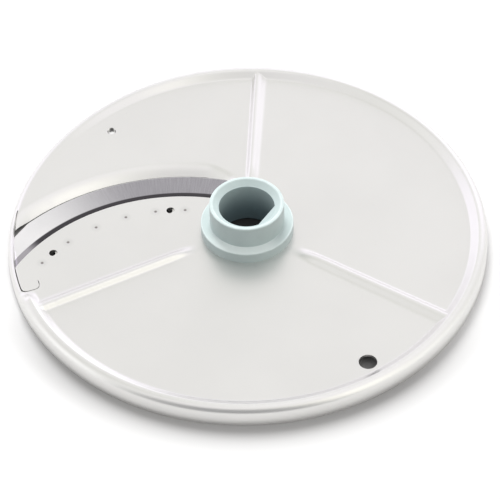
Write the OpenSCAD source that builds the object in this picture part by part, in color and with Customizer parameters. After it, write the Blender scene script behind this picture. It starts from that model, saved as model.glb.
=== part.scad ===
// Slicing disc for a table-top food processor.
// A pressed stainless plate with a rolled rim, three radial ribs and a curved feed slot,
// a sickle blade spot-welded under the trailing side of the slot,
// and a moulded hub with a D-shaped drive socket.
// Millimetres, +Z up along the drive axis. The disc rests on the lower edge of its skirt at z = 0.
// One rib lies on +Y. The disc turns clockwise seen from above.

/* [Plate] */
// Outside diameter of the skirt
disc_d = 175; // [165:1:185]
// Height of the rim bead's crest above the resting plane
rim_height = 7.65; // [7:0.05:9]
// Height of the rim bead above the flat pan
bead_height = 2.35; // [1.6:0.05:2.8]
// Thickness of the pressed sheet
sheet = 1.0; // [0.8:0.05:1.2]
// Outer radius of the shoulder between the crest and the skirt
shoulder_r = 3.0; // [2.4:0.1:3.4]
// Radial width of the bead's inner slope
bead_slope = 3.6; // [3:0.1:4.5]
// Angle ahead of the blade's tip at which the bead has sunk to the pan
fade_lead = 14.4; // [13:0.2:20]
// Angle over which the bead sinks
fade_span = 69; // [40:1:72]
// Angle over which the bead rises again past the tongue
rise_span = 4.2; // [3:0.1:6]

/* [Ribs] */
// Height of the pressed ribs above the pan
rib_height = 1.8; // [1:0.1:2.2]
// Width of a rib's steep trailing flank
rib_steep = 2.4; // [1.8:0.1:3]
// Width of a rib's easy leading flank near the hub
rib_easy_in = 3.4; // [3:0.1:4.4]
// Width of a rib's easy leading flank near the rim
rib_easy_out = 4.8; // [3.4:0.1:5.6]
// Radius at which the ribs run out beside the hub
rib_start = 18.4; // [18:0.1:22]

/* [Slot and feed lip] */
// Bearing at which the cutting edge meets the rim
tip_bearing = 182.4; // [178:0.2:186]
// Distance of the cutting edge's inner end from the disc axis
inner_end_r = 26; // [23:0.1:30]
// Bearing of the cutting edge's inner end
inner_end_bearing = 98.3; // [94:0.1:100]
// Gap between the cutting edge and the feed lip's edge, seen from above
slice_gap = 1.4; // [1:0.1:3]
// Width of the bent lip, measured along the arc's radius
lip_width = 5.2; // [4:0.1:7]
// Depth of the lip's edge below the pan
lip_drop = 3.0; // [2:0.1:3.4]
// Angle over which the lip sinks to its full depth from the slot's hub end
lip_fade = 12; // [8:1:20]
// Angle by which the slot stops short of the blade's inner end
slot_short = 3.5; // [2:0.5:6]
// Length of the tongue behind the blade's tip, as an angle
tongue_sweep = 20.6; // [18:0.2:22]
// Width of the tongue
tongue_w = 6.4; // [5:0.1:7]
// Corner radius of the tongue
tongue_corner = 2.2; // [1.5:0.1:2.6]

/* [Blade] */
// Blade thickness
blade_t = 0.9; // [0.7:0.05:1.1]
// Width of the ground bevel
bevel_w = 8.9; // [6:0.1:10]
// Width of the blade's flat that shows in the slot
flat_shown = 2.9; // [1:0.1:4]
// Distance from the row of welds to the plate's edge over the blade
weld_cover = 7.1; // [5:0.1:9]
// Distance from the row of welds to the blade's back
back_margin = 5.6; // [4:0.1:8]
// Angle from the blade's tip to its heel
heel_sweep = 16.7; // [12:0.1:17]
// Depth of the cutting edge below the blade's top face
edge_drop = 0.6; // [0.4:0.05:0.8]
// Depth of the corner cut off the blade's outer tip
tip_cut = 1.2; // [0.5:0.1:2]
// Arc radius of the row of welds and locating holes
weld_r = 59.6; // [58:0.1:61]
// Diameter of the locating holes through plate and blade
locating_d = 3.0; // [2.5:0.1:3.5]
// Diameter of the weld prints
weld_d = 1.8; // [1.2:0.1:2.5]

/* [Hub] */
// Collar diameter
collar_d = 27.1; // [26:0.1:28]
// Height of the collar's top above the pan
collar_h = 13.65; // [11:0.05:16]
// Flange diameter
flange_d = 33.8; // [32:0.1:34.2]
// Flange thickness at its rim
flange_t = 4.3; // [3:0.1:5]
// Drive socket diameter
socket_d = 20.2; // [18:0.1:21]
// Distance of the socket's flat from the axis
flat_dist = 8.5; // [8:0.1:9.2]
// Bearing of the socket's flat
flat_bearing = 330; // [300:1:360]
// Depth of the funnel at the socket's mouth
funnel_h = 1.8; // [1:0.1:2.5]
// Thickness of the flange under the plate
under_t = 1.5; // [1.2:0.1:2]

/* [Holes] */
// Diameter of the through hole near the rim
rim_hole_d = 6.4; // [4:0.1:8]
// Distance of that hole's middle from the bead's foot
rim_hole_inset = 4; // [4:0.1:12]
// Bearing of that hole
rim_hole_bearing = 305.5; // [290:0.5:318]
// Diameter of the pressed dimple near the rim
dimple_d = 3.8; // [3:0.1:5]
// Depth of that dimple
dimple_depth = 0.55; // [0.3:0.05:0.8]
// Distance of the dimple's middle from the bead's foot
dimple_inset = 6.4; // [4:0.1:12]
// Bearing of the dimple
dimple_bearing = 137; // [125:0.5:150]

/* [Fits] */
// Gap between the blade's outer end and the inside of the skirt
blade_end_gap = 0.7; // [0.5:0.1:1]
// Gap between the blade's inner end and the hub's flange
blade_hub_gap = 1.0; // [0.6:0.1:2]
// Depth of the relief over the blade's outer end, which clears the inside of the shoulder
end_relief = 0.5; // [0.4:0.05:0.6]
// Width of the sheared slit round the tongue and the lip
slit_w = 0.6; // [0.4:0.1:0.8]
// Gap between the hub and the resting plane
hub_rest_gap = 0.4; // [0.2:0.1:1]

/* [Hidden] */
disc_r = disc_d / 2;
pan_z = rim_height - bead_height;
under_z = pan_z - sheet;
crest_r = disc_r - shoulder_r;
foot_r = crest_r - bead_slope - 0.3;
pan_r = foot_r + 0.48;
slit_out = disc_r - 1.5;
slit_in = slit_out - slit_w;
blade_z = under_z;
blade_end_r = disc_r - sheet - blade_end_gap;
flange_r = flange_d / 2;
collar_r = collar_d / 2;
socket_r = socket_d / 2;
hub_top = pan_z + collar_h;
tall = rim_height + collar_h + 10;
tuck = 0.03;
slot_in_r = weld_r + weld_cover;
bevel_r = slot_in_r + flat_shown;
edge_r = bevel_r + bevel_w;
slot_out_r = edge_r + slice_gap;
blade_back_r = weld_r - back_margin;

// Centre of the blade's arcs: the cutting edge runs from the hub's side to the rim
tip_p = blade_end_r * [cos(tip_bearing), sin(tip_bearing)];
inner_p = inner_end_r * [cos(inner_end_bearing), sin(inner_end_bearing)];
chord = inner_p - tip_p;
arc_c = (tip_p + inner_p) / 2 + sqrt(edge_r * edge_r - norm(chord) * norm(chord) / 4) * [chord[1], -chord[0]] / norm(chord);
arc_x = arc_c[0];
arc_y = arc_c[1];
arc_from = atan2(inner_p[1] - arc_y, inner_p[0] - arc_x);
arc_tip = atan2(tip_p[1] - arc_y, tip_p[0] - arc_x);
arc_sweep = arc_tip - arc_from;
slot_end = arc_from + slot_short;

// Bearing on the disc at which an arc about that centre crosses a circle about the axis
function crossing(rho, r) = let (c = norm(arc_c), q = acos((r * r - c * c - rho * rho) / (2 * rho * c)),
    a = atan2(arc_y, arc_x) + 360 - q) (atan2(arc_y + rho * sin(a), arc_x + rho * cos(a)) + 360) % 360;

tongue_end = tip_bearing + tongue_sweep;
fade_end = tip_bearing - fade_lead;
fade_start = fade_end - fade_span;
rise_start = tongue_end;
weld_bearings = [for (f = [1.07, 0.878, 0.702, 0.533, 0.373, 0.217]) arc_from + f * arc_sweep];
locating_bearings = [for (f = [0.982, 0.294]) arc_from + f * arc_sweep];
rib_bearings = [90, 210, 330];

steel = [0.80, 0.80, 0.79];
blade_steel = [0.62, 0.62, 0.64];
plastic = [0.76, 0.84, 0.83];

// Smooth step used by every formed transition
function ease(t) = let (u = min(1, max(0, t))) (1 - cos(180 * u)) / 2;

// Height of the bead at a bearing
function bead_at(a) =
    a <= fade_start ? bead_height :
    a < fade_end ? bead_height * (1 - ease((a - fade_start) / (fade_end - fade_start))) :
    a < rise_start ? 0 :
    bead_height * ease((a - rise_start) / rise_span);

// Upper line of the rim section for a bead height: slope, crest, shoulder, skirt
function rim_top(h) = concat(
    [[foot_r - 0.4, pan_z - tuck]],
    [for (i = [0 : 9]) let (u = i / 9)
        [foot_r + 0.3 + u * bead_slope, pan_z - (i == 0 ? tuck / 2 : 0) + h * ease(u)]],
    [for (i = [1 : 8]) let (a = 90 - i * 11.25)
        [crest_r + shoulder_r * cos(a), pan_z + h - shoulder_r + shoulder_r * sin(a)]],
    [[disc_r, 0]]);

// Lower line: the same section, one sheet thickness inside
function rim_under(h) = concat(
    [[foot_r - 0.4, under_z + tuck]],
    [for (i = [0 : 9]) let (u = i / 9, k = h * 90 * sin(180 * u) / bead_slope / 57.3, m = sqrt(1 + k * k))
        [foot_r + 0.3 + u * bead_slope + sheet * k / m,
            pan_z + (i == 0 ? tuck / 2 : 0) + h * ease(u) - sheet / m]],
    [for (i = [1 : 8]) let (a = 90 - i * 11.25, q = shoulder_r - sheet)
        [crest_r + q * cos(a), pan_z + h - shoulder_r + q * sin(a)]],
    [[disc_r - sheet, 0]]);

function reversed(v) = [for (i = [len(v) - 1 : -1 : 0]) v[i]];
function rim_section(h) = concat(rim_top(h), reversed(rim_under(h)));

// Moves a section towards its own middle line, so that a formed piece ends inside its neighbour
function slimmed(p, d) = let (n = len(p) / 2)
    [for (i = [0 : len(p) - 1]) let (q = p[2 * n - 1 - i], v = q - p[i], m = norm(v)) p[i] + v * (d / m)];

// Solid through a list of stations, each a closed ring of the same count of points
module loft(rings) {
    n = len(rings[0]);
    m = len(rings);
    half = n / 2;
    sides = [for (k = [0 : m - 2]) for (i = [0 : n - 1]) let (j = (i + 1) % n)
        each [[k * n + i, k * n + j, (k + 1) * n + j], [k * n + i, (k + 1) * n + j, (k + 1) * n + i]]];
    cap0 = [for (i = [0 : half - 2]) each
        [[i, n - 1 - i, n - 2 - i], [i, n - 2 - i, i + 1]]];
    cap1 = [for (f = cap0) [for (v = reversed(f)) v + (m - 1) * n]];
    polyhedron(points = [for (r = rings) each r], faces = concat(sides, cap0, cap1), convexity = 8);
}

// Stations of the sinking part of the rim, closer where the bead rises again
soft_bearings = concat(
    [fade_start - 1.4, fade_start - 0.8], [for (i = [0 : 24]) fade_start + 0.6 + (fade_span + 1) * i / 24],
    [for (i = [1 : 9]) fade_end + 1.6 + (rise_start - 1 - fade_end - 1.6) * i / 9],
    [for (i = [0 : 6]) rise_start + i * rise_span / 6], [rise_start + rise_span + 0.6]);
soft_from = fade_start - 1;
soft_to = rise_start + rise_span + 0.3;

module rim() {
    rotate([0, 0, soft_to]) rotate_extrude(angle = 360 + soft_from - soft_to, $fn = 180)
        polygon(rim_section(bead_height));
    last = len(soft_bearings) - 1;
    loft([for (k = [0 : last]) let (a = soft_bearings[k],
            s = k <= 1 || k == last ? slimmed(rim_section(bead_at(a)), 0.04) : rim_section(bead_at(a)))
        [for (p = reversed(s)) [p[0] * cos(a), p[0] * sin(a), p[1]]]]);
}

// Rib section across its run: easy flank on the leading side, steep flank on the trailing side
function rib_wave(u) = u - 0.75 * sin(360 * u) / 6.2832;
rib_stations = [rib_start, rib_start + 0.8, rib_start + 1.6, rib_start + 2.4, rib_start + 3.2, rib_start + 4.2,
    rib_start + 5.4, 32, 42, 52, 62, 72, foot_r - 1, foot_r + 1, crest_r - 1.2, crest_r - 0.4];
function rib_rise(r) = rib_height * ease((r - rib_start) / 5.4);
function rib_easy(r) = rib_easy_in + (rib_easy_out - rib_easy_in) * (r - rib_start) / (disc_r - rib_start);
function rib_sunk(h, i) = h < 0.001 || i == 0 ? tuck : 0;
function rib_across(r) = let (e = rib_easy(r), h = rib_rise(r)) concat(
    [[-e - 0.7, -tuck]], [for (i = [0 : 8]) let (u = i / 8) [-e + e * u, h * rib_wave(u) - rib_sunk(h, i)]],
    [for (i = [7 : -1 : 0]) let (u = i / 8) [rib_steep * (1 - u), h * rib_wave(u) - rib_sunk(h, i)]],
    [[rib_steep + 0.7, -tuck]]);

module rib() {
    loft([for (r = rib_stations) let (p = rib_across(r), low = sheet - 2 * tuck) concat(
        [for (q = p) [r, q[0], pan_z + q[1]]],
        [for (q = reversed(p)) [r, q[0], pan_z + q[1] - low]])]);
}

// Channel pressed out of the pan under a rib
module rib_channel() {
    translate([rib_start + 3, -rib_easy_in + 0.5, under_z - 1])
        cube([crest_r - 1.6 - rib_start - 3, rib_easy_in + rib_steep - 1.0, 1 + sheet + rib_height - 1.25]);
}

// Ring sector about the slot arc's centre
module arc_band(r_in, r_out, from, to, z0, z1) {
    translate([arc_x, arc_y, 0]) rotate([0, 0, from]) rotate_extrude(angle = to - from, $fn = 240)
        translate([r_in, z0]) square([r_out - r_in, z1 - z0]);
}

// Ring sector about the disc axis
module disc_band(r_in, r_out, from, to, z0, z1) {
    rotate([0, 0, from]) rotate_extrude(angle = to - from, $fn = 240)
        translate([r_in, z0]) square([r_out - r_in, z1 - z0]);
}

// Feed lip: the sheet bends down to the slot just ahead of the cutting edge, and runs out beside the hub
lip_steps = 8;
function lip_fall(t) = 0.35 * ease(t) + 0.65 * t * t;
function lip_top(d) = concat([[slot_out_r + lip_width + 0.6, pan_z - tuck]],
    [for (i = [0 : lip_steps]) let (t = i / lip_steps)
        [slot_out_r + lip_width * (1 - t), pan_z - d * lip_fall(t) - (i == 0 || d < 0.01 ? tuck : 0)]]);
function lip_under(d) = [for (p = lip_top(d)) let (f = pan_z - p[1])
    [p[0] - f * 0.12, p[1] - sheet + (f < tuck + 0.001 ? 2 * tuck : 0)]];
lip_stations = concat([slot_end - 1.2, slot_end - 0.5, slot_end + 0.2],
    [for (i = [1 : 8]) slot_end + 0.2 + lip_fade * i / 8],
    [for (i = [1 : 14]) slot_end + 0.2 + lip_fade + (arc_tip + 6 - slot_end - 0.2 - lip_fade) * i / 14]);
module feed_lip() {
    intersection() {
        loft([for (a = lip_stations) let (d = lip_drop * ease((a - slot_end) / lip_fade),
                s = concat(lip_top(d), reversed(lip_under(d))))
            [for (p = s) [arc_x + p[0] * cos(a), arc_y + p[0] * sin(a), p[1]]]]);
        cylinder(r = slit_in - 0.07, h = tall, $fn = 240);
    }
}

// Sheared slits that free the tongue behind the blade's tip and the end of the lip
lance_w = slit_w - 0.15;
tongue_in = slit_in - tongue_w;
module tongue_cuts() {
    k = tongue_corner;
    disc_band(slit_in, slit_out, crossing(slot_out_r + lip_width, slit_in) - 1.4, tongue_end - 1.5, -1, tall);
    rotate([0, 0, tongue_end]) translate([0, 0, -1]) {
        translate([tongue_in + k, -k, 0]) rotate([0, 0, 90]) rotate_extrude(angle = 90, $fn = 72)
            translate([k, 0]) square([lance_w, tall]);
        translate([slit_in - k + 0.02, -k, 0]) rotate_extrude(angle = 90, $fn = 72)
            translate([k, 0]) square([lance_w, tall]);
        translate([tongue_in + k - 0.05, 0, 0]) cube([tongue_w - 2 * k + 0.12, lance_w, tall]);
        translate([tongue_in - lance_w, -k - 1.4, 0]) cube([lance_w, 1.45, tall]);
    }
}

// Ball radii that give the prints and the dimple their width and depth
weld_depth = 0.18;
weld_ball = (weld_d * weld_d / 4 + weld_depth * weld_depth) / (2 * weld_depth);
dimple_ball = (dimple_d * dimple_d / 4 + dimple_depth * dimple_depth) / (2 * dimple_depth);

module locating_holes() {
    for (a = locating_bearings) translate([arc_x, arc_y, 0]) rotate([0, 0, a])
        translate([weld_r, 0, -1]) cylinder(d = locating_d, h = tall, $fn = 48);
}

module disc_plate() {
    color(steel) difference() {
        union() {
            difference() {
                union() {
                    translate([0, 0, under_z]) cylinder(r = pan_r, h = sheet, $fn = 240);
                    rim();
                }
                for (a = rib_bearings) rotate([0, 0, a]) rib_channel();
                intersection() {
                    arc_band(slot_in_r, slot_out_r + lip_width + 0.35, slot_end, arc_tip + 12, -1, pan_z + 4);
                    translate([0, 0, -2]) cylinder(r = slit_out, h = tall, $fn = 240);
                }
                tongue_cuts();
            }
            for (a = rib_bearings) rotate([0, 0, a]) rib();
            feed_lip();
        }
        translate([0, 0, -1]) cylinder(d = collar_d - 3, h = tall, $fn = 120);
        locating_holes();
        for (a = weld_bearings) translate([arc_x, arc_y, 0]) rotate([0, 0, a])
            translate([weld_r, 0, pan_z + weld_ball - weld_depth]) sphere(r = weld_ball, $fn = 48);
        rotate([0, 0, rim_hole_bearing]) translate([foot_r - rim_hole_inset, 0, -1])
            cylinder(d = rim_hole_d, h = tall, $fn = 72);
        rotate([0, 0, dimple_bearing]) translate([foot_r - dimple_inset, 0, pan_z + dimple_ball - dimple_depth])
            sphere(r = dimple_ball, $fn = 72);
    }
}

module slicing_blade() {
    z = blade_z;
    color(blade_steel) difference() {
        intersection() {
            translate([arc_x, arc_y, 0]) rotate([0, 0, arc_from]) rotate_extrude(angle = arc_sweep + heel_sweep, $fn = 240)
                polygon([[blade_back_r, z], [bevel_r, z], [edge_r, z - edge_drop],
                    [edge_r - 0.9, z - blade_t], [blade_back_r, z - blade_t]]);
            rotate_extrude($fn = 240) polygon([[0, -1], [blade_end_r, -1], [blade_end_r, z - end_relief],
                [crest_r - 0.1, z + tuck], [crest_r - 0.1, z + 1], [0, z + 1]]);
        }
        translate([0, 0, -1]) cylinder(r = flange_r + blade_hub_gap, h = tall, $fn = 120);
        locating_holes();
        translate([tip_p[0], tip_p[1], -1]) rotate([0, 0, tip_bearing - 32])
            translate([-tip_cut, -tall / 2, 0]) cube([tall, tall, tall]);
    }
}

module drive_hub() {
    color(plastic) difference() {
        rotate_extrude($fn = 180) polygon([
            [0, hub_rest_gap], [collar_r - 0.4, hub_rest_gap], [collar_r, hub_rest_gap + 0.4],
            [collar_r, under_z - under_t], [flange_r - 0.5, under_z - under_t], [flange_r, under_z - under_t + 0.5],
            [flange_r, under_z], [collar_r - 1.5, under_z], [collar_r - 1.5, pan_z], [flange_r, pan_z],
            [flange_r, pan_z + flange_t - 0.45], [flange_r - 0.13, pan_z + flange_t - 0.13],
            [flange_r - 0.45, pan_z + flange_t], [collar_r + 0.6, pan_z + flange_t + 0.3],
            [collar_r + 0.18, pan_z + flange_t + 0.48], [collar_r, pan_z + flange_t + 0.9],
            [collar_r, hub_top - 0.5], [collar_r - 0.15, hub_top - 0.15], [collar_r - 0.5, hub_top],
            [collar_r - 0.9, hub_top], [socket_r + 0.5, hub_top - funnel_h + 0.2], [socket_r + 0.2, hub_top - funnel_h],
            [0, hub_top - funnel_h]]);
        rotate([0, 0, flat_bearing]) intersection() {
            translate([0, 0, -1]) cylinder(r = socket_r, h = tall, $fn = 180);
            translate([-tall, -tall, -1]) cube([tall + flat_dist, 2 * tall, tall]);
        }
    }
}

disc_plate();
slicing_blade();
drive_hub();
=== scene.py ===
import bpy
import math
import numpy as np
from mathutils import Matrix, Vector, geometry


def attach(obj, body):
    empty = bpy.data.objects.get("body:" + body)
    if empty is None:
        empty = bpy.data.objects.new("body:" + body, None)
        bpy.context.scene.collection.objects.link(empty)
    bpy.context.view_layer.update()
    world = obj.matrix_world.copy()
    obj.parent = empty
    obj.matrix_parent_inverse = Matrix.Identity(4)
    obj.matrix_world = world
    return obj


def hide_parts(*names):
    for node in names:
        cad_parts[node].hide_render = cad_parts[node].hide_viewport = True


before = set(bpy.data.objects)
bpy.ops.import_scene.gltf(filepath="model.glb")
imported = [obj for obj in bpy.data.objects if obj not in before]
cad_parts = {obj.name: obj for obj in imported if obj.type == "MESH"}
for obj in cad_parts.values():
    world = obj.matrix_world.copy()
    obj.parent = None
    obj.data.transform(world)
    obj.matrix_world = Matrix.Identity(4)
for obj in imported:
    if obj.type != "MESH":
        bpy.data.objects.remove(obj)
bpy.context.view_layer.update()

mm = 0.001
scene = bpy.context.scene


def ease(t):
    t = np.clip(t, 0, 1)
    return (1 - np.cos(np.pi * t)) / 2


def formed(t, fillet=0.2):  # straight flank with a small rounding at its foot and at its top
    t = np.clip(t, 0, 1)
    m = 1 / (1 - fillet)
    line = np.where(t < fillet, m * t * t / (2 * fillet), m * (t - fillet / 2))
    return np.where(t > 1 - fillet, 1 - m * (1 - t) ** 2 / (2 * fillet), line)


def polar(radius, bearing):
    a = np.radians(bearing)
    return np.stack(np.broadcast_arrays(radius * np.cos(a), radius * np.sin(a)), -1)


def bearingOf(p):
    return math.degrees(math.atan2(p[1], p[0])) % 360


def circleLoop(centre, radius, n):
    return np.array(centre) + polar(radius, np.linspace(0, 360, n, endpoint=False))


def insideLoop(p, loop):  # which points lie inside a closed polyline
    x, y = p[:, 0][:, None], p[:, 1][:, None]
    a, b = loop, np.roll(loop, -1, axis=0)
    out = np.zeros(len(p), bool)
    chunk = 4000
    for k in range(0, len(p), chunk):
        q = slice(k, k + chunk)
        crosses = (a[:, 1] > y[q]) != (b[:, 1] > y[q])
        slope = (b[:, 0] - a[:, 0]) / np.where(b[:, 1] == a[:, 1], 1e-9, b[:, 1] - a[:, 1])
        out[q] = (crosses & (x[q] < a[:, 0] + (y[q] - a[:, 1]) * slope)).sum(1) % 2 == 1
    return out


def filleted(points, radii, step=0.25):  # rounds the corners of a closed polyline that have a radius
    out = []
    n = len(points)
    for i in range(n):
        p, r = np.array(points[i], float), radii[i]
        if r <= 0:
            out.append(p)
            continue
        a, b = np.array(points[i - 1], float) - p, np.array(points[(i + 1) % n], float) - p
        la, lb = np.linalg.norm(a), np.linalg.norm(b)
        a, b = a / la, b / lb
        half = math.acos(np.clip(a @ b, -1, 1)) / 2
        cut = min(r / math.tan(half), la * 0.9, lb * 0.9)
        p0, p1 = p + a * cut, p + b * cut
        m = max(3, int(cut / step) + 2)
        for t in np.linspace(0, 1, m):
            out.append((1 - t) ** 2 * p0 + 2 * t * (1 - t) * p + t * t * p1)
    return out


def trimmed(points, keeps, bridge):  # cuts one run off a closed polyline and closes it with the bridge
    keep = [keeps(p) > 0 for p in points]
    n = len(points)
    first = next(i for i in range(n) if keep[i] and not keep[(i + 1) % n])
    last = next(i for i in range(n) if keep[i] and not keep[i - 1])

    def crossing(p, q):
        for _ in range(40):
            m = (p + q) / 2
            p, q = (m, q) if keeps(m) > 0 else (p, m)
        return p

    start = crossing(points[first], points[(first + 1) % n])
    end = crossing(points[last], points[last - 1])
    kept = [points[(last + k) % n] for k in range((first - last) % n + 1)]
    return kept + [start] + bridge(start, end) + [end]


def surfaceNormals(surface, xy):  # unit normals and the two slopes, by small steps
    e = 0.015
    dx = surface(xy + [e, 0]) - surface(xy - [e, 0])
    dy = surface(xy + [0, e]) - surface(xy - [0, e])
    n = np.cross(dx, dy)
    return n / np.linalg.norm(n, axis=1)[:, None], dx / (2 * e), dy / (2 * e)


# closed skin of a formed sheet over its flat plan, with rounded cut edges
def sheetMesh(name, outer, holes, inner, surface, under, edge):
    closest, cell = 0.16, 0.12  # inner points keep this far from the cut edges, and one stays in each cell
    loops = [np.array(outer)] + [np.array(h) for h in holes]
    edges, pts, start = [], [], 0
    for loop in loops:
        n = len(loop)
        edges += [(start + i, start + (i + 1) % n) for i in range(n)]
        pts.append(loop)
        start += n
    rim = np.vstack(pts)
    keep = insideLoop(inner, loops[0])
    for h in loops[1:]:
        keep &= ~insideLoop(inner, h)
    inner = inner[keep]
    near = np.full(len(inner), 1e9)
    for k in range(0, len(rim), 500):
        part = rim[None, k:k + 500]
        d = np.hypot(inner[:, None, 0] - part[..., 0], inner[:, None, 1] - part[..., 1])
        near = np.minimum(near, d.min(1))
    inner = inner[near > closest]
    key = np.round(inner / cell).astype(int)
    inner = inner[np.unique(key, axis=0, return_index=True)[1]]
    plan = np.vstack([rim, inner])
    res = geometry.delaunay_2d_cdt([Vector(p) for p in plan], edges, [], 0, 1e-6)
    xy = np.array([v[:] for v in res[0]])
    tris = np.array([t for t in res[2] if len(t) == 3])
    mid = xy[tris].mean(1)
    keep = insideLoop(mid, loops[0])
    for h in loops[1:]:
        keep &= ~insideLoop(mid, h)
    tris = tris[keep]
    a, b, c = (xy[tris[:, i]] for i in range(3))
    area = (b[:, 0] - a[:, 0]) * (c[:, 1] - a[:, 1]) - (b[:, 1] - a[:, 1]) * (c[:, 0] - a[:, 0])
    tris[area < 0] = tris[area < 0][:, ::-1]
    top = surface(xy)
    nTop, jx, jy = surfaceNormals(surface, xy)
    low, nLow = under(xy, top, nTop)
    count = len(xy)
    verts, normals = [top, low], [nTop, nLow]
    faces = [tuple(t) for t in tris] + [(t[2] + count, t[1] + count, t[0] + count) for t in tris]
    base = 2 * count
    index = {}
    for i, origs in enumerate(res[3]):
        for o in origs:
            index[o] = i
    start = 0
    for k, loop in enumerate(loops):
        n = len(loop)
        ids = np.array([index[start + i] for i in range(n)])
        start += n
        nxt, prv = np.roll(loop, -1, axis=0), np.roll(loop, 1, axis=0)
        tangent = nxt - prv
        tangent /= np.linalg.norm(tangent, axis=1)[:, None]
        signed = ((loop[:, 0] * nxt[:, 1] - loop[:, 1] * nxt[:, 0]).sum()) / 2
        ccw = (signed > 0) == (k == 0)
        away = np.column_stack([tangent[:, 1], -tangent[:, 0]]) * (1 if ccw else -1)
        out3 = jx[ids] * away[:, :1] + jy[ids] * away[:, 1:]
        out3 /= np.linalg.norm(out3, axis=1)[:, None]
        thick = np.linalg.norm(top[ids] - low[ids], axis=1)
        e = np.minimum(edge, thick * 0.45)[:, None]  # never more than the sheet can hold
        down = (low[ids] - top[ids]) / thick[:, None]
        d = thick[:, None]
        c45 = math.sqrt(0.5)
        rings = [
            (top[ids] + out3 * e * c45 + down * e * (1 - c45), nTop[ids] + out3),
            (top[ids] + out3 * e + down * e, out3),
            (top[ids] + out3 * e + down * (d - e), out3),
            (top[ids] + out3 * e * c45 + down * (d - e * (1 - c45)), nLow[ids] + out3),
        ]
        ringIds = [ids]
        for p, nn in rings:
            verts.append(p)
            normals.append(nn / np.linalg.norm(nn, axis=1)[:, None])
            ringIds.append(np.arange(base, base + n))
            base += n
        ringIds.append(ids + count)
        for g in range(len(ringIds) - 1):
            u, w = ringIds[g], ringIds[g + 1]
            for i in range(n):
                j = (i + 1) % n
                quad = (u[j], u[i], w[i], w[j])
                faces.append(quad if ccw else quad[::-1])
    verts, normals = np.vstack(verts) * mm, np.vstack(normals)
    mesh = bpy.data.meshes.new(name)
    mesh.from_pydata(verts.tolist(), [], faces)
    mesh.polygons.foreach_set("use_smooth", [True] * len(mesh.polygons))
    mesh.validate()
    mesh.normals_split_custom_set_from_vertices(normals[:len(mesh.vertices)].tolist())
    obj = bpy.data.objects.new(name, mesh)
    scene.collection.objects.link(obj)
    print("piece", name, len(mesh.vertices), "vertices", len(mesh.polygons), "faces")
    return obj


# node helpers: an input may be a number, a colour or another node's socket
def feed(tree, value, socket):
    if isinstance(value, bpy.types.NodeSocket):
        tree.links.new(value, socket)
    elif isinstance(value, (tuple, list)) and len(value) == 3 and socket.type == "RGBA":
        socket.default_value = (*value, 1)
    else:
        socket.default_value = value


def addMath(tree, operation, *values):
    node = tree.nodes.new("ShaderNodeMath")
    node.operation = operation
    for i, value in enumerate(values):
        feed(tree, value, node.inputs[i])
    return node.outputs[0]


def addVector(tree, operation, *values):
    node = tree.nodes.new("ShaderNodeVectorMath")
    node.operation = operation
    slots = [node.inputs[0], node.inputs["Scale"]] if operation == "SCALE" else node.inputs
    for slot, value in zip(slots, values):
        feed(tree, value, slot)
    return node.outputs["Value" if operation in ("DOT_PRODUCT", "LENGTH", "DISTANCE") else "Vector"]


def addSplit(tree, vector):  # the X, Y and Z of a vector
    node = tree.nodes.new("ShaderNodeSeparateXYZ")
    tree.links.new(vector, node.inputs[0])
    return node.outputs["X"], node.outputs["Y"], node.outputs["Z"]


def addRange(tree, value, lowIn, highIn, lowOut=0.0, highOut=1.0, kind="SMOOTHSTEP"):
    node = tree.nodes.new("ShaderNodeMapRange")
    node.interpolation_type = kind
    names = ("Value", "From Min", "From Max", "To Min", "To Max")
    for name, v in zip(names, (value, lowIn, highIn, lowOut, highOut)):
        feed(tree, v, node.inputs[name])
    return node.outputs["Result"]


def addMix(tree, factor, a, b):
    node = tree.nodes.new("ShaderNodeMix")
    node.data_type = "RGBA"
    feed(tree, factor, node.inputs[0])
    feed(tree, a, node.inputs[6])
    feed(tree, b, node.inputs[7])
    return node.outputs[2]


def addTint(tree, mask, share, colour, tint):  # lays a tint over a colour by a share of a mask
    return addMix(tree, addMath(tree, "MULTIPLY", mask, share), colour, tint)


def addNoise(tree, vector, scale, detail, rough):
    node = tree.nodes.new("ShaderNodeTexNoise")
    feed(tree, vector, node.inputs["Vector"])
    for name, v in (("Scale", scale), ("Detail", detail), ("Roughness", rough)):
        feed(tree, v, node.inputs[name])
    return node.outputs["Fac"]


def newGroup(name, inputs, outputs):
    tree = bpy.data.node_groups.new(name, "ShaderNodeTree")
    for socket, kind, value in inputs:
        s = tree.interface.new_socket(socket, in_out="INPUT", socket_type="NodeSocket" + kind)
        if value is not None:
            s.default_value = value
    for socket, kind in outputs:
        tree.interface.new_socket(socket, in_out="OUTPUT", socket_type="NodeSocket" + kind)
    return tree, tree.nodes.new("NodeGroupInput").outputs, tree.nodes.new("NodeGroupOutput").inputs


def place(tree, group, **values):  # an instance of a node group, with its own values
    node = tree.nodes.new("ShaderNodeGroup")
    node.node_tree = group
    for name, value in values.items():
        feed(tree, value, node.inputs[name])
    return node.outputs


def addLength(tree, a, b):  # length of a vector with two parts
    squares = [addMath(tree, "MULTIPLY", v, v) for v in (a, b)]
    return addMath(tree, "SQRT", addMath(tree, "ADD", *squares))


def addNormal(tree):
    return tree.nodes.new("ShaderNodeNewGeometry").outputs["Normal"]


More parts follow.
